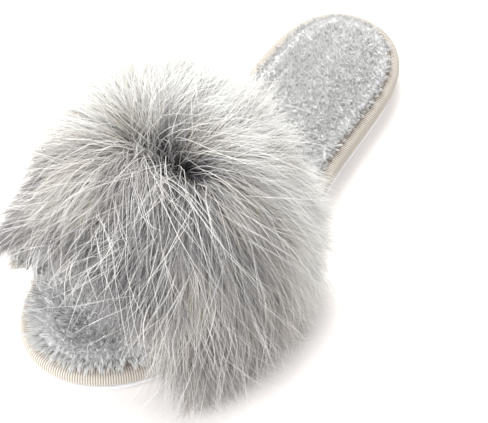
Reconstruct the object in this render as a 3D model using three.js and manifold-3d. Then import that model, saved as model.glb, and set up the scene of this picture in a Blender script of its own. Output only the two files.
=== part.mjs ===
// A fuzzy open-toe house slipper for the left foot, as a standalone three.js example.
// Pieces, from the floor up: a moulded outsole, a padded insole with a plush top, a ribbed tape
// folded round the insole's edge, an upper that is one hollow arch over the foot with its edges
// turned in under the insole, and a long fur that covers the upper and flows away from a parting.
// Millimetres. The toe points to -Y, the heel to +Y, the inner side of the foot is -X, up is +Z.
// The origin is on the floor, under the middle of the sole's length and of the heel's width.
import * as THREE from "three";
import Module from "manifold-3d";

const wasm = await Module();
wasm.setup();

// Sole outline
const soleLength = 262;
const ballWidth = 89;
const heelWidth = 69;
const forefootSwing = 17.5; // how far the toe lies to the inner side of the heel's centre line
const toeSpring = 3.5; // height of the toe tip's underside over the floor
const heelSpring = 1; // height of the heel's last edge over the floor

// Thicknesses and the clearances between pieces
const outsoleThickness = 5;
const outsoleInset = 0.6; // how far the outsole's rim stands in from the tape
const outsoleRounding = 4.6; // width of the rounding between the outsole's rim and its flat
const outsoleChamfer = 0.8; // on the rim's upper edge
const insoleEdge = 9; // height of the insole's bound edge, with its tape
const tapeThickness = 1.3;
const tapeTopFold = 8; // the tape's width on top of the insole
const tapeBottomFold = 7;
const plushDepth = 6.5; // pile over the tape, in the middle
const plushOverhang = 2.2; // how far the pile leans out over the tape
const crownShare = 0.15; // share of the pile's depth by which its middle is higher than its rim
const clearance = 0.3;

// Upper: one arch over the foot
const upperWall = 2.4;
const toeOpening = 43; // from the toe tip to the upper's front edge, on top
const upperLength = 74; // along the foot
const legForward = 8; // how far the legs of the arch stand further to the toe than its top
const vampHeight = 49; // inside height over the floor at the front edge
const instepHeight = 71; // inside height over the floor at the rear edge
const ridgeLean = 5; // the top of the arch leans to the inner side
const lateralDrop = 0.1; // share by which the outer side of the arch is lower
const archPower = 2.35; // 2 is an ellipse, more is squarer
const lastingMargin = 10; // the upper's turned-in edge under the insole

// Fur
const peltDepth = 9; // dense underfur over the upper
const peltEdgeShare = 0.55; // of that depth, at the upper's front and rear edges
const furHemShare = 0.52; // of the fur's depth, low on the two sides
const lockLength = 46;
const lockRadius = 6.5;
const locksAcross = 12;
const locksAlong = 6;
const lockFloorGap = 4;
const lockPlushGap = 1;
const lockSideGap = 4; // a lock this near to the sole's side still stays above the plush

// Mesh fineness
const stationCount = 30; // along the sole
const archRows = 7; // along the upper
const archPoints = 20; // across the upper
const lockSides = 4;

// Shares of the sole's length
const ballShare = 0.3; // toe tip to the widest place
const heelFullShare = 0.68; // toe tip to where the heel has its full width
const heelRoundShare = 0.2; // length of the heel's rounding
const swingShare = 0.75; // the length over which the forefoot leans
const springShare = 0.14; // the length of the toe's rise
const heelSpringShare = 0.03;
const toeRoundPower = 2.14;
const heelRoundPower = 2.34;

const toeY = -soleLength / 2;
const heelY = soleLength / 2;
const clamp01 = (v) => Math.min(1, Math.max(0, v));
const smooth = (v) => clamp01(v) ** 2 * (3 - 2 * clamp01(v));
const lerp = (a, b, t) => a + (b - a) * t;
const shareAt = (y) => (y - toeY) / soleLength;

// A quarter of a superellipse: 0 at the tip, 1 at full width.
const rounding = (v, power) => (1 - (1 - clamp01(v)) ** power) ** (1 / power);

// Half the sole's width at a share of its length.
function halfWidth(share) {
  const wide = lerp(ballWidth, heelWidth, smooth((share - ballShare) / (heelFullShare - ballShare))) / 2;
  const toe = rounding(share / ballShare, toeRoundPower);
  return wide * toe * rounding((1 - share) / heelRoundShare, heelRoundPower);
}

// The centre line, which leans to the inner side from the waist to the toe.
const centreX = (share) => -forefootSwing * clamp01(1 - share / swingShare) ** 2;

// How far the sole's underside is over the floor.
function lift(y) {
  const toe = clamp01(1 - shareAt(y) / springShare);
  const heel = clamp01(1 - (1 - shareAt(y)) / heelSpringShare);
  return toeSpring * toe ** 2 + heelSpring * heel ** 2;
}

// The sole's outline as a closed ring: toe tip, outer side, heel end, inner side.
const outline = (() => {
  const turns = Array.from({ length: stationCount + 1 }, (_, i) => (Math.PI * i) / stationCount);
  const shares = turns.map((turn) => (1 - Math.cos(turn)) / 2);
  const side = (sign) => shares.map((s) => [centreX(s) + sign * halfWidth(s), toeY + s * soleLength]);
  const outer = side(1);
  const inner = side(-1).slice(1, -1).reverse();
  return [...outer, ...inner];
})();

const outlineNormals = outline.map((_, i) => {
  const a = outline.at(i - 1);
  const b = outline[(i + 1) % outline.length];
  const length = Math.hypot(b[0] - a[0], b[1] - a[1]);
  return [(b[1] - a[1]) / length, -(b[0] - a[0]) / length];
});

// The outline moved inwards by inset at height z over the sole's underside.
const ringAt = ({ inset, z }) =>
  outline.map(([x, y], i) => {
    const py = y - outlineNormals[i][1] * inset;
    return [x - outlineNormals[i][0] * inset, py, z + lift(py)];
  });

// Makes a manifold solid of points and triangles, its faces turned outwards.
function solidFrom(points, faces) {
  const build = (triangles) =>
    new wasm.Manifold(
      new wasm.Mesh({
        numProp: 3,
        vertProperties: new Float32Array(points.flat()),
        triVerts: new Uint32Array(triangles.flat()),
      }),
    );
  const made = build(faces);
  return made.volume() > 0 ? made : build(faces.map(([a, b, c]) => [a, c, b]));
}

// Two triangles between four corners in order.
const quad = (a, b, c, d) => [[a, b, c], [a, c, d]];

// Quads between two closed rings of indices.
const wall = (low, high) =>
  low.flatMap((_, i) => {
    const next = (i + 1) % low.length;
    return quad(low[i], low[next], high[next], high[i]);
  });

// Covers a ring of outline points with strips across the foot. crown(side, share) gives the extra
// height at a place across, from -1 to 1, and along, from 0 to 1, and columns how many it is cut in.
function cover(points, ring, columns = 1, crown = () => 0) {
  const rows = [[ring[0]]];
  for (let i = 1; i < stationCount; i++) {
    const a = ring[i];
    const b = ring[2 * stationCount - i];
    const row = [a];
    for (let k = 1; k < columns; k++) {
      const p = points[a].map((v, axis) => lerp(v, points[b][axis], k / columns));
      p[2] += crown(1 - (2 * k) / columns, i / stationCount);
      row.push(points.push(p) - 1);
    }
    rows.push([...row, b]);
  }
  rows.push([ring[stationCount]]);
  const faces = [];
  for (let i = 0; i < rows.length - 1; i++) {
    const [near, far] = [rows[i], rows[i + 1]];
    for (let k = 0; k < columns; k++) {
      if (near.length === 1) faces.push([near[0], far[k], far[k + 1]]);
      else if (far.length === 1) faces.push([near[k], far[0], near[k + 1]]);
      else faces.push(...quad(near[k], far[k], far[k + 1], near[k + 1]));
    }
  }
  return faces;
}

// A closed layer of the sole: rings from the bottom up, with a flat bottom and a crowned top.
function layer(sections, columns, crown) {
  const points = [];
  const rings = sections.map((section) => ringAt(section).map((p) => points.push(p) - 1));
  const faces = rings.slice(1).flatMap((ring, i) => wall(rings[i], ring));
  const bottom = cover(points, rings[0]).map(([a, b, c]) => [a, c, b]);
  return solidFrom(points, [...faces, ...bottom, ...cover(points, rings.at(-1), columns, crown)]);
}

// A closed section of inset and height, swept once round the outline.
function hoop(section) {
  const points = [];
  const rings = section.map((place) => ringAt(place).map((p) => points.push(p) - 1));
  return solidFrom(points, rings.flatMap((ring, i) => wall(ring, rings[(i + 1) % rings.length])));
}

// Heights over the sole's underside
const tapeBottom = outsoleThickness + clearance;
const tapeTop = tapeBottom + insoleEdge;
const coreBottom = tapeBottom + tapeThickness + clearance;
const coreTop = tapeTop - tapeThickness - clearance;
const rollDepth = 0.28 * insoleEdge; // how far the tape's round edge curves in, above and below
const coreEdge = rollDepth + 1; // where the tape's inner face meets its folds

// Moulded outsole: a flat tread with a round edge, and room on top for the upper's turned-in edge.
function makeOutsole() {
  const rimHeight = outsoleThickness - outsoleChamfer;
  const quarter = [90, 60, 35, 12].map((degrees) => {
    const turn = THREE.MathUtils.degToRad(degrees);
    const inset = outsoleInset + outsoleRounding * (1 - Math.cos(turn));
    return { inset, z: rimHeight * (1 - Math.sin(turn)) };
  });
  const rim = [
    { inset: outsoleInset, z: rimHeight },
    { inset: outsoleInset + outsoleChamfer, z: outsoleThickness },
  ];
  return layer([...quarter, ...rim]).subtract(lastingRecess());
}

// Ribbed tape folded round the insole's edge: a round roll outside, and a fold above and below.
function makeTape() {
  const roll = insoleEdge / 2;
  const middle = tapeBottom + roll;
  const outside = [-78, -45, -15, 15, 45, 78].map((degrees) => {
    const turn = THREE.MathUtils.degToRad(degrees);
    return { inset: rollDepth * (1 - Math.cos(turn)), z: middle + 0.98 * roll * Math.sin(turn) };
  });
  const innerHalf = roll - tapeThickness;
  return hoop([
    ...outside,
    { inset: tapeTopFold, z: tapeTop },
    { inset: tapeTopFold, z: tapeTop - tapeThickness },
    { inset: coreEdge, z: middle + innerHalf },
    { inset: tapeThickness, z: middle },
    { inset: coreEdge, z: middle - innerHalf },
    { inset: tapeBottomFold, z: tapeBottom + tapeThickness },
    { inset: tapeBottomFold, z: tapeBottom },
  ]);
}

// Insole: a padded core inside the tape's folds, and a plush top whose pile leans out over the tape.
function makeInsole() {
  const edge = coreEdge + 2 * clearance;
  const shoulder = tapeThickness + clearance;
  const middle = (coreBottom + coreTop) / 2;
  const seat = tapeTopFold + clearance;
  const over = tapeTopFold - plushOverhang;
  const pileBottom = tapeTop + clearance;
  return layer(
    [
      { inset: edge, z: coreBottom },
      { inset: shoulder, z: middle },
      { inset: edge, z: coreTop },
      { inset: seat, z: coreTop },
      { inset: seat, z: pileBottom },
      { inset: over, z: pileBottom + plushDepth * 0.3 },
      { inset: over + plushDepth * 0.15, z: pileBottom + plushDepth * 0.6 },
      { inset: seat + plushDepth * 0.45, z: pileBottom + plushDepth * (1 - crownShare) },
    ],
    4,
    (side, share) => plushDepth * crownShare * (1 - side ** 2) * Math.sin(Math.PI * share) ** 0.3,
  );
}

// The upper's own form
const upperFrontY = toeY + toeOpening;
const archFoot = tapeTop; // where the arch starts to turn in
const upperSide = 2 * clearance; // from the tape to the upper's inner face
const cornerRadius = 2; // where the upper turns in under the insole
const flangeTop = outsoleThickness;

// The upper's inner line across the foot at y: flange, corner, arch, corner, flange. Each place has
// its outward normal with it, so that one line gives every layer of the upper and its fur.
function sectionAt(y) {
  const share = shareAt(y);
  const half = halfWidth(share) + upperSide;
  const centre = centreX(share);
  const rise = lerp(vampHeight, instepHeight, (y - upperFrontY) / upperLength) - archFoot;
  const arch = Array.from({ length: archPoints + 1 }, (_, i) => {
    const turn = (Math.PI * i) / archPoints;
    const [c, s] = [Math.cos(turn), Math.sin(turn)];
    const up = Math.abs(s) ** (2 / archPower);
    const x = Math.sign(c) * Math.abs(c) ** (2 / archPower) * half - ridgeLean * up;
    return [centre + x, archFoot + rise * up * (1 - lateralDrop * Math.max(0, c))];
  });
  const leg = (sign) => [
    [centre + sign * (half - lastingMargin), flangeTop],
    [centre + sign * (half - cornerRadius), flangeTop],
    [centre + sign * (half - cornerRadius * 0.3), flangeTop + cornerRadius * 0.3],
    [centre + sign * half, flangeTop + cornerRadius],
  ];
  const line = [...leg(1), ...arch, ...leg(-1).reverse()];
  return line.map(([x, z], i) => {
    const a = line[Math.max(0, i - 1)];
    const b = line[Math.min(line.length - 1, i + 1)];
    const length = Math.hypot(b[0] - a[0], b[1] - a[1]);
    return { x, z, nx: (b[1] - a[1]) / length, nz: -(b[0] - a[0]) / length };
  });
}

const sectionCount = sectionAt(upperFrontY).length;
const legPoints = (sectionCount - archPoints - 1) / 2;
const archFirst = legPoints;
const archLast = sectionCount - 1 - legPoints;

// Share across the arch, from its outer foot to its inner foot, of a place in the section.
const acrossAt = (index) => clamp01((index - archFirst) / (archLast - archFirst));

// A place on the upper: index across the section, share along it, offset outwards.
function upperPoint(index, along, offset) {
  const y = upperFrontY - legForward * Math.cos(Math.PI * acrossAt(index)) ** 2 + upperLength * along;
  const { x, z, nx, nz } = sectionAt(y)[index];
  return [x + nx * offset, y, z + nz * offset + lift(y)];
}

// A wall that follows the upper from one section place to another, from an inside offset to an
// outside offset that may change along and across the foot.
function archShell({ first, last, inside, outside }) {
  const points = [];
  const places = Array.from({ length: last - first + 1 }, (_, k) => first + k);
  const loops = Array.from({ length: archRows + 1 }, (_, r) => {
    const along = r / archRows;
    const out = places.map((i) => points.push(upperPoint(i, along, outside(along, acrossAt(i)))) - 1);
    const back = places.map((i) => points.push(upperPoint(i, along, inside)) - 1);
    return { out, back, loop: [...out, ...back.toReversed()] };
  });
  const faces = loops.slice(1).flatMap(({ loop }, r) => wall(loops[r].loop, loop));
  const end = ({ out, back }) =>
    out.slice(1).flatMap((_, i) => quad(out[i], out[i + 1], back[i + 1], back[i]));
  const front = end(loops[0]).map(([a, b, c]) => [a, c, b]);
  return solidFrom(points, [...faces, ...front, ...end(loops.at(-1))]);
}

function makeUpper() {
  return archShell({ first: 0, last: sectionCount - 1, inside: 0, outside: () => upperWall });
}

// Room in the outsole for the upper's turned-in edges, with the clearance all round.
function lastingRecess() {
  const front = upperFrontY - legForward - clearance;
  const long = upperLength + 2 * clearance;
  const low = flangeTop - upperWall - clearance;
  const high = 2 * outsoleThickness;
  const [outer, inner] = [1, -1].map((sign) => {
    const points = [];
    const loops = Array.from({ length: archRows + 1 }, (_, r) => {
      const y = front + (long * r) / archRows;
      const edge = halfWidth(shareAt(y)) + upperSide;
      const xs = [edge - lastingMargin - 2 * clearance, edge + 2 * lastingMargin];
      const [near, far] = xs.map((v) => centreX(shareAt(y)) + sign * v);
      const corners = [[near, low], [far, low], [far, high], [near, high]];
      return corners.map(([x, z]) => points.push([x, y, z]) - 1);
    });
    const faces = loops.slice(1).flatMap((loop, r) => wall(loops[r], loop));
    return solidFrom(points, [...faces, ...quad(...loops[0].toReversed()), ...quad(...loops.at(-1))]);
  });
  return outer.add(inner);
}

// A number from 0 to 1 that is the same at each run for the same key.
const chance = (key) => {
  const v = Math.sin(key * 12.9898 + 4.1) * 43758.5453;
  return v - Math.floor(v);
};

// The parting, from which the fur flows away in all directions.
const partingAcross = 0.56; // share across the arch, from the outer to the inner side
const partingAlong = 0.5; // share along the upper

const peltInside = upperWall + clearance;
const bulk = (across) => lerp(furHemShare, 1, Math.sin(Math.PI * across) ** 0.5);
const peltOutside = (along, across) =>
  peltInside + peltDepth * bulk(across) * lerp(peltEdgeShare, 1, Math.sin(Math.PI * along));

// A place on the arch at any share across it, as a vector.
function archVector(across, along, offset) {
  const place = archFirst + across * (archLast - archFirst);
  const low = Math.min(Math.floor(place), archLast - 1);
  const a = new THREE.Vector3(...upperPoint(low, along, offset));
  return a.lerp(new THREE.Vector3(...upperPoint(low + 1, along, offset)), place - low);
}

// Along one lock, as shares of its length and of its radius: how far it stands off the pelt and
// flows along it, near the parting and far from it, how far it hangs, and how thick it is.
const lockSections = [
  { at: 0, off: 0, offFar: 0, flow: 0, flowFar: 0, hang: 0, thick: 0.75 },
  { at: 0.25, off: 0.21, offFar: 0.14, flow: 0.08, flowFar: 0.17, hang: 0.02, thick: 1 },
  { at: 0.5, off: 0.4, offFar: 0.22, flow: 0.22, flowFar: 0.37, hang: 0.07, thick: 0.95 },
  { at: 0.78, off: 0.52, offFar: 0.26, flow: 0.42, flowFar: 0.6, hang: 0.18, thick: 0.6 },
  { at: 1, off: 0.55, offFar: 0.26, flow: 0.62, flowFar: 0.8, hang: 0.32, thick: 0.08 },
];

// One lock of fur: a curved tube that tapers to a tip, with its root in the underfur.
function makeLock(column, row) {
  const key = column * 37 + row * 101 + 7;
  const jitter = (step) => 0.4 * (chance(key + step) - 0.5);
  const stagger = 0.25 + 0.5 * (row % 2);
  const across = lerp(0.03, 0.97, (column + stagger + jitter(0)) / locksAcross);
  const along = lerp(0.04, 0.96, clamp01((row + jitter(1)) / (locksAlong - 1)));
  const thickness = lockRadius * bulk(across);
  const root = archVector(across, along, peltInside + thickness * 0.8);
  const normal = archVector(across, along, peltInside + 3 * thickness).sub(root).normalize();
  const flow = root.clone().sub(archVector(partingAcross, partingAlong, peltInside));
  const far = clamp01(flow.length() / (upperLength * 0.55));
  flow.addScaledVector(normal, -flow.dot(normal)).normalize();
  const aside = new THREE.Vector3().crossVectors(normal, flow);
  const length = lockLength * bulk(across) * lerp(0.9, 1.1, chance(key + 2));
  const swirl = 0.5 * (chance(key + 3) - 0.5);
  const path = lockSections.map(({ at, off, offFar, flow: along0, flowFar, hang, thick }) => {
    const centre = root.clone();
    centre.addScaledVector(normal, length * lerp(off, offFar, far));
    centre.addScaledVector(flow, length * lerp(along0, flowFar, far));
    centre.addScaledVector(aside, length * swirl * at ** 1.5);
    centre.z -= length * hang;
    const radius = thickness * thick;
    return { centre: keepClear(centre, radius), radius };
  });
  return tube(path);
}

// Lifts a lock's point off the floor, or off the plush where it hangs over the insole.
function keepClear(centre, radius) {
  const share = shareAt(centre.y);
  const reach = halfWidth(clamp01(share)) + radius + lockSideGap;
  const overSole = share > 0 && share < 1 && Math.abs(centre.x - centreX(share)) < reach;
  const plushTop = tapeTop + clearance + plushDepth + lift(centre.y);
  centre.z = Math.max(centre.z, radius + (overSole ? plushTop + lockPlushGap : lockFloorGap));
  return centre;
}

// A closed tube through centres with a radius at each.
function tube(path) {
  const points = [];
  const up = new THREE.Vector3(0.31, 0.17, 0.94).normalize();
  const rings = path.map(({ centre, radius }, i) => {
    const next = path[Math.min(path.length - 1, i + 1)].centre;
    const last = path[Math.max(0, i - 1)].centre;
    const along = next.clone().sub(last).normalize();
    const side = new THREE.Vector3().crossVectors(along, up).normalize();
    const other = new THREE.Vector3().crossVectors(side, along);
    return Array.from({ length: lockSides }, (_, k) => {
      const turn = (2 * Math.PI * k) / lockSides;
      const rim = centre.clone().addScaledVector(side, radius * Math.cos(turn));
      return points.push(rim.addScaledVector(other, radius * Math.sin(turn)).toArray()) - 1;
    });
  });
  const walls = rings.slice(1).flatMap((ring, i) => wall(rings[i], ring));
  const fan = (ring) => ring.slice(2).map((v, i) => [ring[0], ring[i + 1], v]);
  const start = fan(rings[0]).map(([a, b, c]) => [a, c, b]);
  return solidFrom(points, [...walls, ...start, ...fan(rings.at(-1))]);
}

// Fills the small hollows that locks close off between them: a hollow's skin has its faces turned
// inwards, so its volume is below zero, and such a skin is left out.
function withoutHollows(solid) {
  const { vertProperties, triVerts } = solid.getMesh();
  const skinOf = Array.from({ length: vertProperties.length / 3 }, (_, i) => i);
  const find = (i) => {
    while (skinOf[i] !== i) i = skinOf[i] = skinOf[skinOf[i]];
    return i;
  };
  const corner = (v) => new THREE.Vector3().fromArray(vertProperties, 3 * v);
  const faces = [];
  for (let t = 0; t < triVerts.length; t += 3) faces.push(Array.from(triVerts.subarray(t, t + 3)));
  for (const [a, b, c] of faces) skinOf[find(a)] = skinOf[find(b)] = find(c);
  const volumes = new Map();
  for (const [a, b, c] of faces) {
    const volume = corner(a).dot(corner(b).cross(corner(c))) / 6;
    volumes.set(find(a), (volumes.get(find(a)) ?? 0) + volume);
  }
  const points = Array.from(skinOf, (_, v) => corner(v).toArray());
  return solidFrom(points, faces.filter(([a]) => volumes.get(find(a)) > 0));
}

// The fur as one piece: the underfur over the upper's outer face, with its locks fused on.
function makeFur() {
  const hem = archFirst - 1;
  const last = sectionCount - 1 - hem;
  let fur = archShell({ first: hem, last, inside: peltInside, outside: peltOutside });
  for (let column = 0; column < locksAcross; column++)
    for (let row = 0; row < locksAlong; row++) fur = fur.add(makeLock(column, row));
  return withoutHollows(fur);
}

const materials = {
  outsole: { color: "#e6e8ea", roughness: 0.42 },
  insole: { color: "#b4b8b8", roughness: 0.95 },
  edge_binding: { color: "#cfc8bb", roughness: 0.75 },
  upper: { color: "#a9adad", roughness: 0.9 },
  fur: { color: "#c3c2bf", roughness: 0.85 },
};

// A named mesh of a solid.
function piece(name, solid) {
  const { vertProperties, triVerts } = solid.getMesh();
  const geometry = new THREE.BufferGeometry();
  geometry.setAttribute("position", new THREE.BufferAttribute(new Float32Array(vertProperties), 3));
  geometry.setIndex(new THREE.BufferAttribute(new Uint32Array(triVerts), 1));
  geometry.computeVertexNormals();
  const material = new THREE.MeshStandardMaterial({ ...materials[name], metalness: 0 });
  const mesh = new THREE.Mesh(geometry, material);
  mesh.name = name;
  return mesh;
}

const slipper = new THREE.Group();
slipper.add(
  piece("outsole", makeOutsole()),
  piece("insole", makeInsole()),
  piece("edge_binding", makeTape()),
  piece("upper", makeUpper()),
  piece("fur", makeFur()),
);

export default slipper;
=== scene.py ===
# Fuzzy open-toe slipper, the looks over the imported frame. Lengths are in mm here and become
# metres as they go into a mesh.
import math

import bmesh
import bpy
import numpy as np
from mathutils import Matrix, Vector


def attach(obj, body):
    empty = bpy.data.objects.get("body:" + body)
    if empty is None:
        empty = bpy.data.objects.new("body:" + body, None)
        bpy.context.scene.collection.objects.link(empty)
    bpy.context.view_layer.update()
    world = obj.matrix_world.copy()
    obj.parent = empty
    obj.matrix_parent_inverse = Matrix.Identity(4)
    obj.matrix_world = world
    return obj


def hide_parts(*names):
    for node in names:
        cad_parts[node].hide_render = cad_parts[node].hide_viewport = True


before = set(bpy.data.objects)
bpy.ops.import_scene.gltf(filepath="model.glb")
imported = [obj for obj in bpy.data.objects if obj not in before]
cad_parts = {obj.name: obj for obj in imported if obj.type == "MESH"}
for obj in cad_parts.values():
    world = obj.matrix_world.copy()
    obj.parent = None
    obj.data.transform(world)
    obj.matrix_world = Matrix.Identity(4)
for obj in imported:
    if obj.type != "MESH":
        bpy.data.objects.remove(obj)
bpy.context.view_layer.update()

MM = 0.001

# The last and the sole, the same named sizes as the solids have
SOLE_LENGTH = 262.0
BALL_WIDTH = 89.0
HEEL_WIDTH = 69.0
FOREFOOT_SWING = 17.5
TOE_SPRING = 3.5
HEEL_SPRING = 1.0
TOE_Y = -SOLE_LENGTH / 2
HEEL_Y = SOLE_LENGTH / 2
BALL_AT = 0.3  # share of the length, from the toe, where the sole is widest
WAIST_LENGTH = 0.38  # share of the length over which it narrows to the heel's width
HEEL_ROUND = 0.2  # share of the length that the heel's curve takes
TOE_CURVE = 2.14
HEEL_CURVE = 2.34

# The rubber outsole
OUTSOLE_THICKNESS = 5.0
RIM_INSET = 0.6  # how far in from the sole's edge its side stands
RIM_HEIGHT = 4.2  # of the round lower edge
RIM_WIDTH = 4.6
TREAD_GROOVE = ((7.2, 0.0), (7.8, 0.6), (9.0, 0.6), (9.6, 0.0))  # inset and height, out to in

# The tape folded round the insole's edge
TAPE_BOTTOM = 5.3
TAPE_TOP = 14.3
TAPE_MIDDLE = (TAPE_BOTTOM + TAPE_TOP) / 2
ROLL_DEPTH = 2.52  # how far the tape's round edge curves in
TAPE_THICKNESS = 1.3
TOP_FOLD = 8.0
BOTTOM_FOLD = 7.0
RIB_PITCH = 1.1
RIB_DEPTH = 0.22

# The stitches on its upper fold
STITCH_PITCH = 3.1
STITCH_LENGTH = 2.2
STITCH_INSET = 5.3
STITCH_SIDES = 6
STITCH_RINGS = (  # along the half length, radius of the thread, how deep it sinks
    (-1.0, 0.12, 0.16), (-0.6, 0.24, 0.0), (0.6, 0.24, 0.0), (1.0, 0.12, 0.16),
)

# The padded insole: inset and height of its side, from its lower edge up to its crowned top
INSOLE_SIDE = (
    (2.6, 8.4), (1.75, 9.8), (2.6, 11.3), (4.12, 12.7), (8.3, 12.75),
    (8.3, 14.5), (7.4, 15.2), (7.2, 15.9), (7.8, 16.7), (9.6, 17.3),
)
PLUSH_DEPTH = 6.5
CROWN = 0.9  # share of the crown's full rise that the ground of the plush takes

# The band over the foot and its fur
UPPER_WALL = 2.4
FRONT_Y = TOE_Y + 43.0
UPPER_LENGTH = 74.0
LEG_FORWARD = 8.0
VAMP_HEIGHT = 49.0
INSTEP_HEIGHT = 71.0
RIDGE_LEAN = 5.0
LATERAL_DROP = 0.1
ARCH_POWER = 2.35
BAND_STANDOFF = 0.6  # how far outside the sole's edge the band comes down
ARCH_COUNT = 61  # points over the arch
BAND_ROWS = 25
PELT_THICKNESS = 1.6
PELT_OVER_BAND = 3.2
WALL_EDGE = 0.7  # rounding of a wall's rim
PARTING = ((0.58, 0.61), (0.48, 0.59))  # its two ends, across and along the band

# Locks and hairs, with widths as coarse as they need to be to show
LOCK_COLUMNS = 44
LOCK_ROWS = 22
LOCK_LENGTH = 47.0
HAIR_ROUNDS = 4
HAIRS_A_ROUND = 16000
HAIR_WIDTH = 0.29
GUARD_COUNT = 3400
GUARD_TANGLED = 420  # of them, by the parting
GUARD_LENGTH = 50.0
GUARD_WIDTH = 0.25
WOOL_COUNT = 5200
WOOL_WIDTH = 0.34
HAIR_LIMITS = ((0, -80.0, 68.0), (1, -136.0, 60.0), (2, -1.0, 94.0))  # axis, lowest, highest
HELD_BACK = 0.66  # share of what reaches over those limits
HAIR_COLUMNS = 64  # columns of the hair's map, one tint each
FUR_SEED = 20
FLOOR_Z = 0.0
FLOOR_GAP = 2.0  # least height of the hair beside the sole
PLUSH_GAP = 0.3  # and over the plush
SOLE_REACH = 3.0  # how far outside the sole's edge hair still counts as over it

# The plush pile
PILE_PITCH = 1.75
PILE_FIBRES = 9
PILE_WIDTH = 0.44
PILE_INSET = 6.2
PILE_HEEL = 3.1  # height of the tufts
PILE_TOE = 4.2
PLUSH_SEED = 8

# The camera keeps the photo's angle to the shoe: degrees, metres, pixels of the photo's frame
CAMERA_TURN = (25.7, 54.0, 6.9)
CAMERA_DISTANCE = 0.583
FOCAL_PX = 1200
FRAME_PX = 488
SHIFT_PX = (4, -12)
SENSOR_WIDTH = 36
LIGHT_AIM = (-0.01, -0.03, 0.03)
WORLD_STRENGTH = 0.94


def clamp01(value):
    return np.clip(value, 0.0, 1.0)


def lerp(a, b, t):
    return a + (b - a) * t


def smooth(value):
    c = clamp01(value)
    return c * c * (3 - 2 * c)


def unit(vectors):
    return vectors / np.maximum(np.linalg.norm(vectors, axis=-1, keepdims=True), 1e-9)


def share_at(y):
    return (y - TOE_Y) / SOLE_LENGTH


def rounding(value, power):
    """The rise of a superellipse from 0 at its end to 1."""
    return (1 - (1 - clamp01(value)) ** power) ** (1 / power)


def half_width(share):
    """Half the sole's width there, along its length from toe to heel."""
    width = lerp(BALL_WIDTH, HEEL_WIDTH, smooth((share - BALL_AT) / WAIST_LENGTH)) / 2
    return width * rounding(share / BALL_AT, TOE_CURVE) * rounding((1 - share) / HEEL_ROUND, HEEL_CURVE)


def centre_x(share):
    """The sole's middle line, which swings to the inner side in the forefoot."""
    return -FOREFOOT_SWING * clamp01(1 - share / 0.75) ** 2


def lift(y):
    """How far the sole rises from the floor there, at its toe and its heel."""
    share = share_at(y)
    toe = TOE_SPRING * clamp01(1 - share / 0.14) ** 2
    return toe + HEEL_SPRING * clamp01(1 - (1 - share) / 0.03) ** 2


def outline(count):
    """Places evenly round the sole's edge, and the outward normals there."""
    share = (1 - np.cos(np.linspace(0, np.pi, 1200))) / 2
    outer = np.stack([centre_x(share) + half_width(share), TOE_Y + SOLE_LENGTH * share], axis=1)
    inner = np.stack([centre_x(share) - half_width(share), TOE_Y + SOLE_LENGTH * share], axis=1)[::-1]
    line = np.concatenate([outer, inner[1:]])
    reach = np.concatenate([[0], np.cumsum(np.linalg.norm(np.diff(line, axis=0), axis=1))])
    marks = np.linspace(0, reach[-1], count, endpoint=False)
    places = np.stack([np.interp(marks, reach, line[:, k]) for k in (0, 1)], axis=1)
    ways = unit(np.roll(places, -1, axis=0) - np.roll(places, 1, axis=0))
    return places, np.stack([ways[:, 1], -ways[:, 0]], axis=1), reach[-1]


def ring(places, normals, inset, z):
    """One row round the sole, this far in from its edge and at this height before the toe's rise."""
    flat = places - normals * np.reshape(inset, (-1, 1))
    return np.column_stack([flat, z + lift(flat[:, 1])])


def towards_spine(row, t):
    """The row drawn in towards the middle line of the sole."""
    y = np.clip(row[:, 1], TOE_Y + 40, HEEL_Y - 32)
    middle = np.column_stack([centre_x(share_at(y)), y, row[:, 2]])
    moved = lerp(row, middle, t)
    moved[:, 2] = row[:, 2] - lift(row[:, 1]) + lift(moved[:, 1])
    return moved


def crown_at(x, y):
    """How much higher the plush is in the middle of the sole than at its rim."""
    share = clamp01(share_at(y))
    side = (x - centre_x(share)) / np.maximum(half_width(share) - 4, 1)
    return 0.975 * clamp01(1 - side**2) * np.sin(np.pi * clamp01(share)) ** 0.3


def band_section(across, y):
    """The band's outer face in a cut across the foot, from the outer side over to the inner side."""
    share = share_at(y)
    half = half_width(share) + BAND_STANDOFF
    rise = lerp(VAMP_HEIGHT, INSTEP_HEIGHT, (y - FRONT_Y) / UPPER_LENGTH) - TAPE_TOP
    c, s = np.cos(np.pi * across), np.sin(np.pi * across)
    up = np.abs(s) ** (2 / ARCH_POWER)
    x = centre_x(share) + np.sign(c) * np.abs(c) ** (2 / ARCH_POWER) * half - RIDGE_LEAN * up
    return x, TAPE_TOP + rise * up * (1 - LATERAL_DROP * np.maximum(0, c))


def band_point(across, along, offset=0.0):
    """Places this far over the band's outer face."""
    across = np.clip(across, 0.0, 1.0)
    y = FRONT_Y - LEG_FORWARD * np.cos(np.pi * across) ** 2 + UPPER_LENGTH * along
    x, z = band_section(across, y)
    xa, za = band_section(np.clip(across - 0.004, 0, 1), y)
    xb, zb = band_section(np.clip(across + 0.004, 0, 1), y)
    run = np.maximum(np.hypot(xb - xa, zb - za), 1e-9)
    side, up = (zb - za) / run * offset, (xb - xa) / run * offset
    return np.stack([x + side, y, z - up + lift(y)], axis=-1)


def paint(code):
    """A linear colour from an sRGB hex value."""
    parts = [int(code[k:k + 2], 16) / 255 for k in (1, 3, 5)]
    return (*[p / 12.92 if p <= 0.04045 else ((p + 0.055) / 1.055) ** 2.4 for p in parts], 1.0)


def add_node(tree, kind, inputs=None, **settings):
    """Adds a node, with its settings, and with values or links into its inputs."""
    node = tree.nodes.new(kind)
    for name, value in settings.items():
        setattr(node, name, value)
    for name, value in (inputs or {}).items():
        if isinstance(value, bpy.types.NodeSocket):
            tree.links.new(value, node.inputs[name])
        else:
            node.inputs[name].default_value = value
    return node


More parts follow.
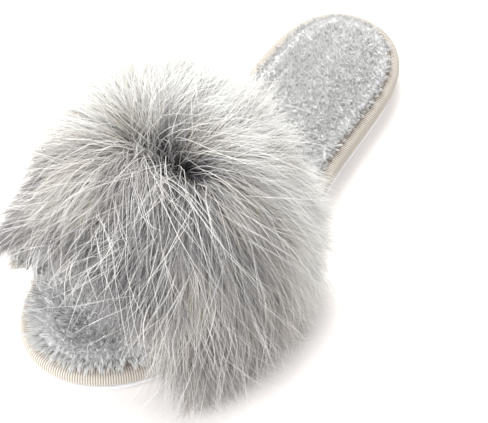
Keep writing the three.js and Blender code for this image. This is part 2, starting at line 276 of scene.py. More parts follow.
def set_ramp(node, stops):
    """Gives a colour ramp its stops, each a place and a hex colour."""
    ramp = node.color_ramp
    while len(ramp.elements) < len(stops):
        ramp.elements.new(0.5)
    for element, (place, code) in zip(ramp.elements, stops):
        element.position = place
        element.color = paint(code)


def new_material(name):
    material = bpy.data.materials.new(name)
    material.use_nodes = True
    tree = material.node_tree
    tree.nodes.clear()
    output = add_node(tree, "ShaderNodeOutputMaterial")
    return material, tree, output


# Camera, light and floor
def place_camera():
    azimuth, elevation, roll = (math.radians(degrees) for degrees in CAMERA_TURN)
    back = Vector((
        math.sin(azimuth) * math.cos(elevation),
        -math.cos(azimuth) * math.cos(elevation),
        math.sin(elevation),
    ))
    right = Vector((math.cos(azimuth), math.sin(azimuth), 0))
    up = back.cross(right)
    side = right * math.cos(roll) + up * math.sin(roll)
    top = up * math.cos(roll) - right * math.sin(roll)
    pose = Matrix((side, top, back)).transposed().to_4x4()
    pose.translation = back * CAMERA_DISTANCE
    bpy.ops.object.camera_add()
    camera = bpy.context.object
    camera.name = "camera"
    camera.matrix_world = pose
    camera.data.sensor_fit = "HORIZONTAL"
    camera.data.sensor_width = SENSOR_WIDTH
    camera.data.lens = FOCAL_PX / FRAME_PX * SENSOR_WIDTH
    camera.data.shift_x = SHIFT_PX[0] / FRAME_PX
    camera.data.shift_y = SHIFT_PX[1] / FRAME_PX
    camera.data.clip_start = 0.01
    bpy.context.scene.camera = camera


def place_light(name, spot, size, power, colour):
    """A soft square light that looks at the shoe."""
    bpy.ops.object.light_add(type="AREA", location=spot)
    light = bpy.context.object
    light.name = name
    light.data.size = size
    light.data.energy = power
    light.data.color = paint(colour)[:3]
    away = Vector(spot) - Vector(LIGHT_AIM)
    light.rotation_euler = away.to_track_quat("Z", "Y").to_euler()


def light_studio():
    scene = bpy.context.scene
    scene.view_settings.view_transform = "Standard"
    world = bpy.data.worlds.new("white_studio")
    world.use_nodes = True
    sky = world.node_tree.nodes["Background"]
    sky.inputs["Color"].default_value = paint("#fbfcff")
    sky.inputs["Strength"].default_value = WORLD_STRENGTH
    scene.world = world
    place_light("key_light", (-0.6, 0.4, 1.05), 0.9, 19, "#fffefb")
    place_light("front_fill", (-0.35, -0.95, 0.5), 0.6, 9, "#fcfdff")


def lay_floor():
    """A plain pale sweep of paper: matt, near white, a touch warm where shade falls on it."""
    bpy.ops.mesh.primitive_plane_add(size=6, location=(0, 0, 0))
    floor = bpy.context.object
    floor.name = "studio_floor"
    material, tree, output = new_material("matt_backdrop_paper")
    grain = add_node(tree, "ShaderNodeTexNoise", {"Scale": 900.0, "Detail": 2.0})
    bump = add_node(tree, "ShaderNodeBump", {
        "Strength": 0.02, "Distance": 0.0002, "Height": grain.outputs["Fac"]})
    shader = add_node(tree, "ShaderNodeBsdfPrincipled", {
        "Base Color": paint("#f8f3ef"), "Roughness": 0.9, "Normal": bump.outputs["Normal"]})
    tree.links.new(shader.outputs["BSDF"], output.inputs["Surface"])
    floor.data.materials.append(material)


# The finishes
def moulded_foam_rubber():
    """Foamed rubber from a mould: white, a soft gloss on its round rim, a fine pebble of 1.4 mm."""
    material, tree, output = new_material("moulded_foam_rubber")
    where = add_node(tree, "ShaderNodeTexCoord")
    cells = add_node(tree, "ShaderNodeTexVoronoi", {"Vector": where.outputs["Object"], "Scale": 700.0})
    wear = add_node(tree, "ShaderNodeTexNoise", {
        "Vector": where.outputs["Object"], "Scale": 45.0, "Detail": 5.0})
    tone = add_node(tree, "ShaderNodeValToRGB", {"Fac": wear.outputs["Fac"]})
    set_ramp(tone, ((0.3, "#e2e2e4"), (0.7, "#efeff0")))
    bump = add_node(tree, "ShaderNodeBump", {
        "Strength": 0.25, "Distance": 0.0003, "Height": cells.outputs["Distance"]})
    shader = add_node(tree, "ShaderNodeBsdfPrincipled", {
        "Base Color": tone.outputs["Color"], "Roughness": 0.42, "IOR": 1.5, "Normal": bump.outputs["Normal"]})
    tree.links.new(shader.outputs["BSDF"], output.inputs["Surface"])
    return material


def grosgrain_tape():
    """Grosgrain of polyester yarn: cream, matt, with painted shade between its ribs, with a fuzz of 1.1 mm.
    """
    material, tree, output = new_material("grosgrain_tape")
    where = add_node(tree, "ShaderNodeTexCoord")
    rib_shade = add_node(tree, "ShaderNodeAttribute", attribute_name="rib_shade")
    tone = add_node(tree, "ShaderNodeValToRGB", {"Fac": rib_shade.outputs["Fac"]})
    # Dark brown in the valleys between the ribs: painted shade
    set_ramp(tone, ((0.0, "#665e56"), (0.5, "#aca498"), (1.0, "#cfc8bd")))
    fuzz = add_node(tree, "ShaderNodeTexNoise", {
        "Vector": where.outputs["Object"], "Scale": 900.0, "Detail": 3.0})
    shade = add_node(tree, "ShaderNodeMapRange", {
        "Value": fuzz.outputs["Fac"], "To Min": 0.86, "To Max": 1.1})
    mixed = add_node(tree, "ShaderNodeVectorMath", {
        0: tone.outputs["Color"], 1: shade.outputs["Result"]}, operation="MULTIPLY")
    bump = add_node(tree, "ShaderNodeBump", {
        "Strength": 0.4, "Distance": 0.0002, "Height": fuzz.outputs["Fac"]})
    shader = add_node(tree, "ShaderNodeBsdfPrincipled", {
        "Base Color": mixed.outputs["Vector"], "Roughness": 0.78, "Sheen Weight": 0.2,
        "Normal": bump.outputs["Normal"]})
    tree.links.new(shader.outputs["BSDF"], output.inputs["Surface"])
    return material


def sewing_thread():
    """Twisted sewing thread: taupe, a shade darker than the tape, a faint gloss, a twist of 0.6 mm."""
    material, tree, output = new_material("sewing_thread")
    where = add_node(tree, "ShaderNodeTexCoord")
    twist = add_node(tree, "ShaderNodeTexNoise", {
        "Vector": where.outputs["Object"], "Scale": 1800.0, "Detail": 2.0})
    tone = add_node(tree, "ShaderNodeValToRGB", {"Fac": twist.outputs["Fac"]})
    set_ramp(tone, ((0.3, "#7f766b"), (0.7, "#9c9286")))
    bump = add_node(tree, "ShaderNodeBump", {
        "Strength": 0.4, "Distance": 0.0001, "Height": twist.outputs["Fac"]})
    shader = add_node(tree, "ShaderNodeBsdfPrincipled", {
        "Base Color": tone.outputs["Color"], "Roughness": 0.55, "Normal": bump.outputs["Normal"]})
    tree.links.new(shader.outputs["BSDF"], output.inputs["Surface"])
    return material


def brushed_cloth(name, dark, pale, scale):
    """Brushed knit: matt, with a soft cloudy nap of 1 to 2 mm and a fine bump."""
    material, tree, output = new_material(name)
    where = add_node(tree, "ShaderNodeTexCoord")
    nap = add_node(tree, "ShaderNodeTexNoise", {
        "Vector": where.outputs["Object"], "Scale": scale, "Detail": 5.0, "Roughness": 0.65})
    tone = add_node(tree, "ShaderNodeValToRGB", {"Fac": nap.outputs["Fac"]})
    set_ramp(tone, ((0.3, dark), (0.7, pale)))
    bump = add_node(tree, "ShaderNodeBump", {
        "Strength": 0.6, "Distance": 0.0008, "Height": nap.outputs["Fac"]})
    shader = add_node(tree, "ShaderNodeBsdfPrincipled", {
        "Base Color": tone.outputs["Color"], "Roughness": 0.95, "Sheen Weight": 0.25,
        "Sheen Roughness": 0.6, "Normal": bump.outputs["Normal"]})
    tree.links.new(shader.outputs["BSDF"], output.inputs["Surface"])
    return material


def hair_finish(name, stops, tints, through):
    """Fine fibre: darker at its root and pale at its tip, from a cool to a warm tint across the map; on the
    fur and the plush that tint also holds painted light and shade.
    """
    material, tree, output = new_material(name)
    where = add_node(tree, "ShaderNodeUVMap", uv_map="OFBake")
    parts = add_node(tree, "ShaderNodeSeparateXYZ", {"Vector": where.outputs["UV"]})
    tone = add_node(tree, "ShaderNodeValToRGB", {"Fac": parts.outputs["Y"]})
    set_ramp(tone, stops)
    tint = add_node(tree, "ShaderNodeValToRGB", {"Fac": parts.outputs["X"]})
    set_ramp(tint, tints)
    mixed = add_node(tree, "ShaderNodeVectorMath", {
        0: tone.outputs["Color"], 1: tint.outputs["Color"]}, operation="MULTIPLY")
    shader = add_node(tree, "ShaderNodeBsdfPrincipled", {
        "Base Color": mixed.outputs["Vector"], "Roughness": 0.7, "Specular IOR Level": 0.25})
    glow = add_node(tree, "ShaderNodeBsdfTranslucent", {"Color": mixed.outputs["Vector"]})
    blend = add_node(tree, "ShaderNodeMixShader", {
        "Fac": through, 1: shader.outputs["BSDF"], 2: glow.outputs["BSDF"]})
    tree.links.new(blend.outputs["Shader"], output.inputs["Surface"])
    return material


# Main forms, shaped from primitives
def swept_ring(name, rows):
    """A circle set to the first row's places, and extruded once for each row after it."""
    bpy.ops.object.select_all(action="DESELECT")
    bpy.ops.mesh.primitive_circle_add(vertices=len(rows[0]), radius=0.1)
    piece = bpy.context.object
    piece.name = name
    piece.data.name = name
    bpy.ops.object.mode_set(mode="EDIT")
    mesh = bmesh.from_edit_mesh(piece.data)
    station = mesh.verts.layers.int.new("station")
    mesh.verts.ensure_lookup_table()
    for index, vert in enumerate(mesh.verts):
        vert[station] = index
        vert.co = rows[0][index] * MM
    for row in rows[1:]:
        bpy.ops.mesh.extrude_edges_move()
        mesh = bmesh.from_edit_mesh(piece.data)
        station = mesh.verts.layers.int["station"]
        for vert in mesh.verts:
            if vert.select:
                vert.co = row[vert[station]] * MM
    bmesh.update_edit_mesh(piece.data)
    return piece


def close_up(piece, caps):
    """Fills the first and the last ring, of so many places, then merges doubles and faces all outwards."""
    total = len(bmesh.from_edit_mesh(piece.data).verts)
    for first in (0, total - caps) if caps else ():
        bpy.ops.mesh.select_all(action="DESELECT")
        mesh = bmesh.from_edit_mesh(piece.data)
        mesh.verts.ensure_lookup_table()
        for index in range(first, first + caps):
            mesh.verts[index].select = True
        mesh.select_flush(True)
        bpy.ops.mesh.fill(use_beauty=True)
    bpy.ops.mesh.select_all(action="SELECT")
    bpy.ops.mesh.remove_doubles(threshold=0.00001)
    bpy.ops.mesh.normals_make_consistent(inside=False)
    bpy.ops.object.mode_set(mode="OBJECT")
    bpy.ops.object.shade_smooth()


def face_outwards(piece):
    """Turns all faces of a piece outwards."""
    bpy.ops.object.select_all(action="DESELECT")
    piece.select_set(True)
    bpy.context.view_layer.objects.active = piece
    bpy.ops.object.mode_set(mode="EDIT")
    bpy.ops.mesh.select_all(action="SELECT")
    bpy.ops.mesh.normals_make_consistent(inside=False)
    bpy.ops.object.mode_set(mode="OBJECT")


def bent_sheet(name, places):
    """A grid with its points set to these places, so many rows of so many columns."""
    rows, columns = places.shape[0] - 1, places.shape[1] - 1
    bpy.ops.object.select_all(action="DESELECT")
    bpy.ops.mesh.primitive_grid_add(x_subdivisions=columns, y_subdivisions=rows, size=1)
    piece = bpy.context.object
    piece.name = name
    piece.data.name = name
    for vert in piece.data.vertices:
        column = int(round((vert.co.x + 0.5) * columns))
        row = int(round((vert.co.y + 0.5) * rows))
        vert.co = places[row, column] * MM
    face_outwards(piece)
    bpy.ops.object.shade_smooth()
    return piece


def apply_modifiers(piece):
    bpy.ops.object.select_all(action="DESELECT")
    piece.select_set(True)
    bpy.context.view_layer.objects.active = piece
    for modifier in list(piece.modifiers):
        bpy.ops.object.modifier_apply(modifier=modifier.name)


def dress(piece, material, slot_name, *nodes):
    """Gives a piece its finish, hangs it on the root body, and hides the solids it stands for."""
    piece.data.materials.clear()
    piece.data.materials.append(material)
    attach(piece, "root")
    if nodes:
        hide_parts(*nodes)


def make_outsole():
    """The rubber sole, with a round lower edge and a shallow groove round its tread."""
    count = 220
    places, normals, _ = outline(count)
    top = ring(places, normals, 1.4, OUTSOLE_THICKNESS)
    rows = [towards_spine(top, t) for t in (0.96, 0.6, 0.3)]
    rows.append(top)
    for inset, z in ((1.0, 4.85), (0.7, 4.5), (RIM_INSET, RIM_HEIGHT)):
        rows.append(ring(places, normals, inset, z))
    for degrees in (12, 26, 40, 55, 72, 90):
        angle = math.radians(degrees)
        inset = RIM_INSET + RIM_WIDTH * (1 - math.cos(angle))
        rows.append(ring(places, normals, inset, RIM_HEIGHT * (1 - math.sin(angle))))
    for inset, z in TREAD_GROOVE:
        rows.append(ring(places, normals, inset, z))
    inner = rows[-1]
    for t in (0.25, 0.5, 0.75, 0.96):
        rows.append(towards_spine(inner, t))
    piece = swept_ring("outsole_rubber", rows)
    close_up(piece, count)
    dress(piece, moulded_foam_rubber(), "outsole", "outsole")


def make_tape():
    """The ribbed tape, folded round the insole's edge, with its ribs as real ridges."""
    _, _, length = outline(400)
    ribs = int(round(length / RIB_PITCH))
    places, normals, _ = outline(ribs * 3)
    valley = (np.arange(ribs * 3) % 3 == 0).astype(float)
    deep = RIB_DEPTH * valley
    roll_height = 0.98 * (TAPE_TOP - TAPE_MIDDLE)
    section = [(7.6, TAPE_TOP), (5.0, TAPE_TOP), (3.4, TAPE_TOP)]
    for degrees in (72, 52, 30, 10, -10, -30, -52, -72):
        angle = math.radians(degrees)
        section.append((ROLL_DEPTH * (1 - math.cos(angle)), TAPE_MIDDLE + roll_height * math.sin(angle)))
    section += [(3.4, TAPE_BOTTOM), (6.8, TAPE_BOTTOM)]
    under_top = TAPE_TOP - TAPE_THICKNESS
    inside = [(BOTTOM_FOLD, 6.5), (3.5, TAPE_BOTTOM + TAPE_THICKNESS), (1.4, TAPE_MIDDLE),
              (3.5, under_top), (TOP_FOLD, under_top), (TOP_FOLD, 14.0)]
    rows = []
    for inset, z in section:
        turn = math.atan2(z - TAPE_MIDDLE, max(4.4 - inset, 0.0))
        rows.append(ring(places, normals, inset + deep * math.cos(turn), z - deep * math.sin(turn)))
    for inset, z in inside:
        rows.append(ring(places, normals, inset, z))
    rows.append(rows[0])
    piece = swept_ring("ribbed_edge_tape", rows)
    close_up(piece, 0)
    station = np.zeros(len(piece.data.vertices), dtype=np.int32)
    piece.data.attributes["station"].data.foreach_get("value", station)
    # The valleys get painted shade through this map
    rib_shade = piece.data.attributes.new("rib_shade", "FLOAT", "POINT")
    rib_shade.data.foreach_set("value", (1 - valley[station]).astype(np.float32))
    dress(piece, grosgrain_tape(), "ribbed_tape", "edge_binding")


def make_stitches():
    """One row of lockstitch on the tape's upper fold, each stitch a short thread pulled in at its ends."""
    _, _, length = outline(400)
    places, normals, _ = outline(int(length / STITCH_PITCH))
    middle = ring(places, normals, STITCH_INSET, TAPE_TOP + 0.12)
    along = unit(np.roll(middle, -1, axis=0) - np.roll(middle, 1, axis=0))
    across = unit(np.cross(along, np.array([0.0, 0.0, 1.0])))
    verts, faces = [], []
    for spot, way, aside in zip(middle, along, across):
        base = len(verts)
        for share, radius, sink in STITCH_RINGS:
            for k in range(STITCH_SIDES):
                turn = math.tau * k / STITCH_SIDES
                point = spot + way * STITCH_LENGTH / 2 * share + aside * radius * math.cos(turn)
                verts.append((point + np.array([0.0, 0.0, radius * math.sin(turn) - sink])) * MM)
        last = len(verts) - STITCH_SIDES
        for low in range(base, last, STITCH_SIDES):
            for k in range(STITCH_SIDES):
                here, beside = low + k, low + (k + 1) % STITCH_SIDES
                faces.append((here, beside, beside + STITCH_SIDES, here + STITCH_SIDES))
        faces.append(tuple(base + k for k in reversed(range(STITCH_SIDES))))
        faces.append(tuple(last + k for k in range(STITCH_SIDES)))
    mesh = bpy.data.meshes.new("tape_stitches")
    mesh.from_pydata([tuple(vert) for vert in verts], [], faces)
    piece = bpy.data.objects.new("tape_stitches", mesh)
    bpy.context.scene.collection.objects.link(piece)
    face_outwards(piece)
    dress(piece, sewing_thread(), "ribbed_tape", "edge_binding")


def make_insole():
    """The padded core and the ground of its plush, crowned, with its edge inside the tape."""
    count = 240
    places, normals, _ = outline(count)
    low = ring(places, normals, 4.12, 6.9)
    rows = [towards_spine(low, t) for t in (0.96, 0.6, 0.25)]
    rows.append(low)
    for inset, z in INSOLE_SIDE:
        rows.append(ring(places, normals, inset, z))
    top = ring(places, normals, 11.0, 17.5)
    top[:, 2] += 0.4 * crown_at(top[:, 0], top[:, 1])
    rows.append(top)
    for t in (0.12, 0.25, 0.4, 0.55, 0.7, 0.85, 0.96):
        row = towards_spine(top, t)
        row[:, 2] += CROWN * t * crown_at(row[:, 0], row[:, 1])
        rows.append(row)
    piece = swept_ring("insole_pad", rows)
    close_up(piece, count)
    dress(piece, brushed_cloth("plush_ground", "#dadada", "#ececeb", 900.0), "plush", "insole")


def make_upper():
    """The hollow band over the foot, one sheet of backing cloth with lining, turned in below."""
    across = np.linspace(0, 1, ARCH_COUNT)
    turned_in = ((9.6, 5.0), (2.0, 5.0), (0.6, 5.6), (0.0, 7.0))
    rows = []
    for t in np.linspace(0, 1, BAND_ROWS):
        arch = band_point(across, np.full(ARCH_COUNT, t))
        legs = []
        for sign, y in ((1, arch[0, 1]), (-1, arch[-1, 1])):
            share = share_at(y)
            half = half_width(share) + BAND_STANDOFF
            legs.append([[centre_x(share) + sign * (half - back), y, z + lift(y)] for back, z in turned_in])
        rows.append(legs[0] + arch.tolist() + legs[1][::-1])
    piece = bent_sheet("band_lining", np.array(rows))
    dress(piece, brushed_cloth("brushed_knit_lining", "#8f8f90", "#b9b9b8", 700.0), "lining", "upper")
    return piece


# Hair, pile and other things that repeat by the thousand, as joined meshes from arrays
def strips(name, paths, widths, facing, column):
    """Flat tapered strips that end in a point, mapped so that a strip fills part of one column."""
    # Two corners at each knot along a strip, and one at its tip
    count, knots = paths.shape[:2]
    ways = unit(np.gradient(paths, axis=1))
    sides = unit(np.cross(ways, facing))
    left = paths - sides * widths[:, :, None] / 2
    right = paths + sides * widths[:, :, None] / 2
    per = 2 * (knots - 1) + 1
    verts = np.empty((count, per, 3))
    verts[:, 0:-1:2] = left[:, :-1]
    verts[:, 1:-1:2] = right[:, :-1]
    verts[:, -1] = paths[:, -1]
    loops = []
    for k in range(knots - 2):
        loops += [2 * k, 2 * k + 1, 2 * k + 3, 2 * k + 2]
    loops += [2 * knots - 4, 2 * knots - 3, 2 * knots - 2]
    loops = np.array(loops)
    starts = np.arange(knots - 1) * 4
    all_loops = (loops[None, :] + np.arange(count)[:, None] * per).ravel()
    all_starts = (starts[None, :] + np.arange(count)[:, None] * len(loops)).ravel()
    mesh = bpy.data.meshes.new(name)
    mesh.vertices.add(count * per)
    mesh.vertices.foreach_set("co", (verts * MM).astype(np.float32).ravel())
    mesh.loops.add(len(all_loops))
    mesh.loops.foreach_set("vertex_index", all_loops.astype(np.int32))
    mesh.polygons.add(len(all_starts))
    mesh.polygons.foreach_set("loop_start", all_starts.astype(np.int32))
    mesh.update(calc_edges=True)
    mesh.polygons.foreach_set("use_smooth", np.ones(len(all_starts), dtype=bool))
    column = np.clip(np.floor(column * HAIR_COLUMNS), 0, HAIR_COLUMNS - 1)
    u = np.empty((count, per))
    u[:, 0:-1:2] = ((column + 0.1) / HAIR_COLUMNS)[:, None]
    u[:, 1:-1:2] = ((column + 0.9) / HAIR_COLUMNS)[:, None]
    u[:, -1] = (column + 0.5) / HAIR_COLUMNS
    v = np.empty((count, per))
    at = np.linspace(0.01, 0.99, knots)
    v[:, 0:-1:2] = at[:-1]
    v[:, 1:-1:2] = at[:-1]
    v[:, -1] = at[-1]
    flat = np.stack([u, v], axis=-1).reshape(-1, 2)[all_loops]
    mesh.uv_layers.new(name="OFBake").data.foreach_set("uv", flat.astype(np.float32).ravel())
    piece = bpy.data.objects.new(name, mesh)
    bpy.context.scene.collection.objects.link(piece)
    return piece


def over_sole(paths, gap):
    """How high a hair has to stay there: over the plush, or over the floor beside the sole."""
    x, y = paths[..., 0], paths[..., 1]
    share = share_at(y)
    aside = np.abs(x - centre_x(share))
    inside = (share > 0) & (share < 1) & (aside < half_width(clamp01(share)) + SOLE_REACH)
    plush = TAPE_TOP + PLUSH_DEPTH + PLUSH_GAP + gap + lift(y)
    return np.where(inside, plush, FLOOR_Z + FLOOR_GAP + 1.2 * gap)


# The way of a lock from its root to its tip, in shares of its length, by the parting and far from it
LOCK_AT = (0.0, 0.25, 0.5, 0.78, 1.0)
LOCK_OFF = ((0.0, 0.21, 0.4, 0.52, 0.55), (0.0, 0.14, 0.22, 0.26, 0.26))
LOCK_FLOW = ((0.0, 0.08, 0.22, 0.42, 0.62), (0.0, 0.17, 0.37, 0.6, 0.8))
LOCK_HANG = (0.0, 0.02, 0.07, 0.18, 0.32)

# How far the fur reaches round the parting: degrees from the outer side, share of the full length
REACH_ROUND = (
    (-180, 1.02), (-155, 0.82), (-125, 0.66), (-90, 0.82), (-60, 0.78), (-30, 0.82), (0, 0.88),
    (35, 0.5), (60, 0.52), (90, 0.8), (125, 1.0), (150, 1.06), (180, 1.0),
)


def hair_paths(across, along, length, swirl, knots, base=4.0):
    """Hair that rises from the pelt, bends over and flows away from the parting."""
    root = band_point(across, along, base)
    step = 0.006
    d_across = band_point(across + step, along, base) - band_point(across - step, along, base)
    d_along = band_point(across, along + step, base) - band_point(across, along - step, base)
    normal = unit(np.cross(d_along, d_across))
    ends = [band_point(np.array(spot[0]), np.array(spot[1]), base) for spot in PARTING]
    line = ends[1] - ends[0]
    share = clamp01((root - ends[0]) @ line / (line @ line))
    away = root - ends[0] - share[:, None] * line
    distance = np.linalg.norm(away, axis=-1)
    far = clamp01(distance / (0.55 * UPPER_LENGTH))
    degrees = np.degrees(np.arctan2(away[:, 1], away[:, 0]))
    turns, shares = zip(*REACH_ROUND)
    length = length * lerp(1.0, np.interp(degrees, turns, shares), far)
    # It is shorter low on both sides, most of all on the inner side
    length = length * (1 - 0.62 * smooth((across - 0.74) / 0.2) - 0.16 * smooth((0.2 - across) / 0.2))
    away = away - np.sum(away * normal, axis=-1, keepdims=True) * normal
    flow = unit(away)
    aside = np.cross(normal, flow)
    at = np.linspace(0, 1, knots)
    # On the inner side the fur stands up more and hangs less
    inner = smooth((-root[:, 0] - 10) / 35)
    off = lerp(np.interp(at, LOCK_AT, LOCK_OFF[0]), np.interp(at, LOCK_AT, LOCK_OFF[1]), far[:, None])
    off = off * (1 + 0.25 * inner[:, None])
    run = lerp(np.interp(at, LOCK_AT, LOCK_FLOW[0]), np.interp(at, LOCK_AT, LOCK_FLOW[1]), far[:, None])
    run = run * (1 - 0.12 * inner[:, None])
    hang = np.interp(at, LOCK_AT, LOCK_HANG)[None, :] * (1 - 0.75 * inner[:, None])
    size = length[:, None, None]
    # It comes up through the underfur first
    bulk = lerp(0.5, 1.0, np.sin(np.pi * across) ** 0.5)
    rise = 5.0 * bulk[:, None] * (1 - (1 - at[None, :]) ** 3)
    paths = root[:, None] + normal[:, None] * (off[..., None] * size + rise[..., None])
    paths = paths + flow[:, None] * (run[..., None] * size)
    paths = paths + aside[:, None] * ((swirl[:, None] * at[None, :] ** 1.5)[..., None] * size)
    paths[..., 2] -= hang * length[:, None]
    return paths, normal


def keep_clear(paths, at, gap):
    """Holds hair over the plush, or over the floor beside the sole, each hair at its own height."""
    floor = over_sole(paths, gap[:, None])
    lifted = np.maximum(paths[..., 2], floor)
    paths[..., 2] = np.where(at[None, :] > 0.05, lifted, paths[..., 2])
    for axis, low, high in HAIR_LIMITS:
        over = np.maximum(paths[..., axis] - high, 0) - np.maximum(low - paths[..., axis], 0)
        paths[..., axis] -= HELD_BACK * over
    return paths


def tuft_field(across, along, rng):
    """A slow random wave over the pelt, which bends neighbouring locks the same way."""
    total = np.zeros_like(across)
    for _ in range(6):
        ways = rng.uniform(-1, 1, 2) * (26, 13)
        total += np.sin(across * ways[0] + along * ways[1] + rng.uniform(0, 2 * np.pi))
    return total / 2.4


# Dark pockets by the parting, where the eye sees down to the roots: across, along, radius, share left out
POCKETS = ((0.46, 0.59, 4.8, 0.92), (0.51, 0.47, 4.8, 0.88), (0.69, 0.38, 4.2, 0.8))
POCKET_FLOOR = 9.0
POCKET_MOUTH = 26.0
POCKET_LEAN = (4.0, -9.0, 0.0)
POCKET_DEPTH = 20.0


def clear_of_pockets(paths, rng):
    """Leaves out most of the hair that would cross a pocket, which opens up and to the front."""
    kept = np.ones(len(paths), dtype=bool)
    for across, along, radius, share in POCKETS:
        low = band_point(np.array(across), np.array(along), POCKET_FLOOR)
        high = band_point(np.array(across), np.array(along), POCKET_MOUTH) + np.array(POCKET_LEAN)
        rise = (high - low) / np.linalg.norm(high - low)
        off = paths - low
        along_rise = np.clip(off @ rise, 0, POCKET_DEPTH)
        gap = np.linalg.norm(off - along_rise[..., None] * rise, axis=-1)
        near = np.min(gap, axis=1) < radius
        kept &= ~(near & (rng.uniform(0, 1, len(paths)) < share))
    return kept


def curls(count, at, size, rng):
    """Slow random waves for each hair, nothing at its root."""
    start = rng.uniform(0, 2 * np.pi, (count, 1, 3))
    wave = np.sin(start + at[None, :, None] * rng.uniform(3, 9, (count, 1, 3))) - np.sin(start)
    return wave * at[None, :, None] * rng.uniform(0.3, 1.0, (count, 1, 1)) * size


# Tints of the fur, from dark grey over a warm middle to pale: the dark end is painted shade on the front, the
# pale end painted light towards the heel
FUR_TINTS = (
    (0.0, "#959495"), (0.3, "#aeacac"), (0.5, "#c4c1be"),
    (0.62, "#ddd5c9"), (0.74, "#e7e7e4"), (1.0, "#fdfdfb"),
)


def make_fur():
    """The long fur: locks over the pelt, and hairs that follow them, with painted shade in front and painted
    light towards the heel.
    """
    rng = np.random.default_rng(FUR_SEED)
    knots = 6
    column, row = np.meshgrid(np.arange(LOCK_COLUMNS), np.arange(LOCK_ROWS))
    column, row = column.ravel(), row.ravel()
    locks = column.size
    lock_across = lerp(0.01, 0.99, (column + 0.5 + rng.uniform(-0.5, 0.5, locks)) / LOCK_COLUMNS)
    lock_along = lerp(0.0, 1.0, (row + 0.5 + rng.uniform(-0.5, 0.5, locks)) / LOCK_ROWS)
    lock_length = LOCK_LENGTH * rng.uniform(0.8, 1.04, locks)
    lock_swirl = 0.2 * tuft_field(lock_across, lock_along, rng) + rng.normal(0, 0.14, locks)
    # A warm clump lies in front of the parting, and past the parting towards the heel the fur is made pale,
    # which is painted light
    warm = np.exp(-((lock_across - 0.6) ** 2) / 0.006 - ((lock_along - 0.33) ** 2) / 0.05)
    # The low base tone is painted shade on the front of the fur
    lock_tone_and_light = 0.3 + 0.1 * tuft_field(lock_across, lock_along, rng) + 0.32 * warm
    lit_rear = smooth((lock_along - 0.53 + 0.1 * smooth((lock_across - 0.5) / 0.2)) / 0.22)
    # The front corner of the inner side is wispy and made pale, which is painted light, and the fur beside it
    # is greyer, which is painted shade
    corner = smooth((lock_across - 0.76) / 0.12) * smooth((0.44 - lock_along) / 0.24)
    inner = smooth((lock_across - 0.66) / 0.1) * (1 - corner) * (1 - lit_rear)
    # Paler towards the heel and at the inner front corner, which is painted light, and greyer on the inner
    # side, which is painted shade
    lock_tone_and_light = lock_tone_and_light + 0.62 * np.maximum(lit_rear, corner) - 0.22 * inner
    # Painted light on the outer side towards the front, where the fur lies in shade
    lock_tone_and_light = lock_tone_and_light + 0.2 * smooth((0.42 - lock_across) / 0.15) * smooth((0.75 - lock_along) / 0.2)
    lit_rear = np.maximum(lit_rear, corner)
    lock_tone_and_light = lock_tone_and_light + rng.normal(0, 0.12, locks)
    at = np.linspace(0, 1, knots)
    guides, _ = hair_paths(lock_across, lock_along, lock_length, lock_swirl, knots)
    guides += rng.normal(0, 1, (locks, 1, 3)) * (at**1.5)[None, :, None] * 3.5
    taper = np.array([0.9, 1.0, 0.95, 0.75, 0.45, 0.0])
    count = HAIRS_A_ROUND
    found = []
    for _ in range(HAIR_ROUNDS):
        lock = rng.integers(0, locks, count)
        across = np.clip(lock_across[lock] + rng.normal(0, 0.014, count), 0.01, 0.99)
        along = np.clip(lock_along[lock] + rng.normal(0, 0.03, count), 0.0, 1.0)
        length = lock_length[lock] * rng.uniform(0.46, 1.1, count)
        wispy = smooth((across - 0.66) / 0.12) * smooth((0.6 - along) / 0.2)
        length = length * lerp(1.0, rng.uniform(0.72, 1.03, count), wispy)
        swirl = lock_swirl[lock] + rng.normal(0, 0.14, count)
        own, normal = hair_paths(across, along, length, swirl, knots)
        # A quarter of the hairs are strays, and the others are drawn to their lock's guide
        stray = (rng.uniform(0, 1, count) < 0.25)[:, None]
        pull = np.where(stray, 0.0, rng.uniform(0.3, 0.75, (count, 1))) * smooth(at * 1.15)[None, :]
        share = (length / lock_length[lock])[:, None, None]
        guide = guides[lock][:, :1] + (guides[lock] - guides[lock][:, :1]) * share
        paths = lerp(own, guide, pull[..., None]) + curls(count, at, 2.3, rng)
        paths = paths + rng.normal(0, 1, (count, 1, 3)) * (at**2)[None, :, None] * 2.2
        paths = keep_clear(paths, at, 0.4 + 4.5 * rng.uniform(0, 1, count) ** 2)
        kept = clear_of_pockets(paths, rng)
        # Each hair keeps its share of painted light, and its tone holds its tint with painted light and shade
        paths, normal, tone, back = paths[kept], normal[kept], lock_tone_and_light[lock][kept], lit_rear[lock][kept]
        tone = tone + rng.normal(0, 0.07, len(tone))
        widths = HAIR_WIDTH * rng.uniform(0.7, 1.25, (len(paths), 1)) * taper[None, :]
        facing = unit(normal[:, None] + rng.normal(0, 0.5, (len(paths), 1, 3)))
        found.append((paths, widths, facing, tone, back))
    paths, widths, facing, tone, back = (np.concatenate(part) for part in zip(*found))
    long_hair = hair_finish("long_fur_hair", (
        (0.0, "#5c5a5b"), (0.12, "#a09e9e"), (0.35, "#dad9d9"), (0.75, "#eeeded"), (1.0, "#ffffff"),
    ), FUR_TINTS, 0.35)
    # A paler copy of the long hair, which is painted light, for the fur towards the heel and at the inner
    # front corner
    lit_long_hair = hair_finish("long_fur_hair_painted_light", (
        (0.0, "#8d8c8b"), (0.12, "#c4c3c1"), (0.35, "#ebebea"), (1.0, "#ffffff"),
    ), FUR_TINTS, 0.35)
    # Hair with enough painted light takes the paler copy
    lit_hair = back > rng.uniform(0.25, 0.75, len(back))
    for name, finish, chosen in (("front", long_hair, ~lit_hair), ("lit_rear", lit_long_hair, lit_hair)):
        for number, part in enumerate(np.array_split(np.flatnonzero(chosen), 2)):
            piece = strips(f"fur_{name}_{number + 1}", paths[part], widths[part], facing[part], tone[part])
            dress(piece, finish, "fur", "fur")
    make_guard_hairs(rng)
    make_underfur(rng)


